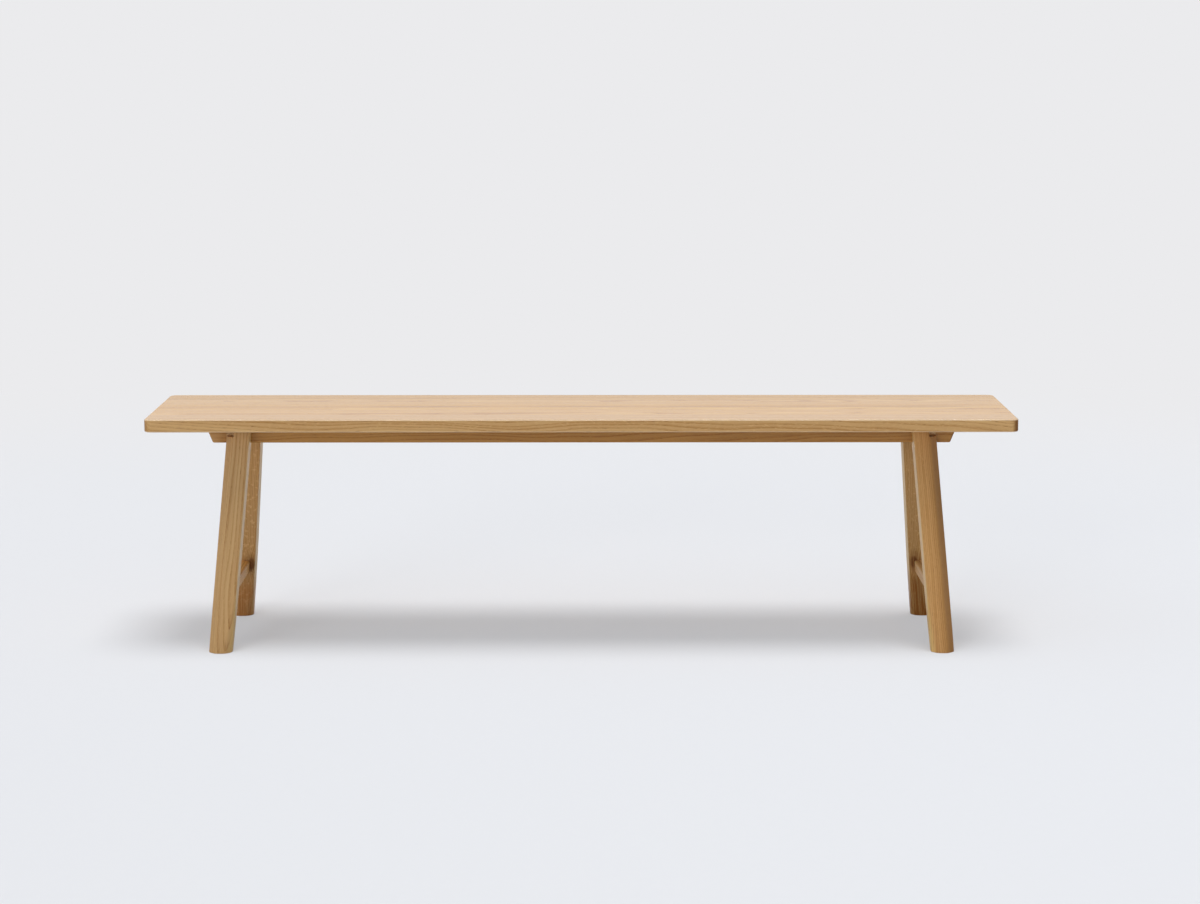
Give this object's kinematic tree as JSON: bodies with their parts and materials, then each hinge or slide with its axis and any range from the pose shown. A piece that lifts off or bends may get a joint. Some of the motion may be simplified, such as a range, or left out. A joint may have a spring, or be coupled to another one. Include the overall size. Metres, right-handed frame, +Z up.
{
  "type": "dining bench",
  "caption": "Long wooden dining bench: thin glued-board seat on rails, splayed legs notched over the rails, a low stretcher at each end.",
  "frame": {"origin": "on the floor under the middle of the seat", "axes": "+X along the bench to its right end, +Y from the front edge to the back edge, +Z up"},
  "size_m": [1.66, 0.3806, 0.45],
  "materials": {
    "oak": "satin lacquer",
    "zinc_steel": "zinc plated",
    "brass": "machined",
    "nylon": "matte"
  },
  "bodies": {
    "root": {"seat_board_front": "oak", "seat_board_front_inner": "oak", "seat_board_middle": "oak", "seat_board_back_inner": "oak", "seat_board_back": "oak", "front_rail": "oak", "back_rail": "oak", "left_cross_rail": "oak", "middle_cross_rail": "oak", "right_cross_rail": "oak", "leg_front_left": "oak", "leg_front_right": "oak", "leg_back_left": "oak", "leg_back_right": "oak", "left_stretcher": "oak", "right_stretcher": "oak", "leg_bolts": "zinc_steel", "bolt_washers": "zinc_steel", "leg_inserts": "brass", "seat_screws": "zinc_steel", "foot_glides": "nylon"}
  },
  "joints": []
}
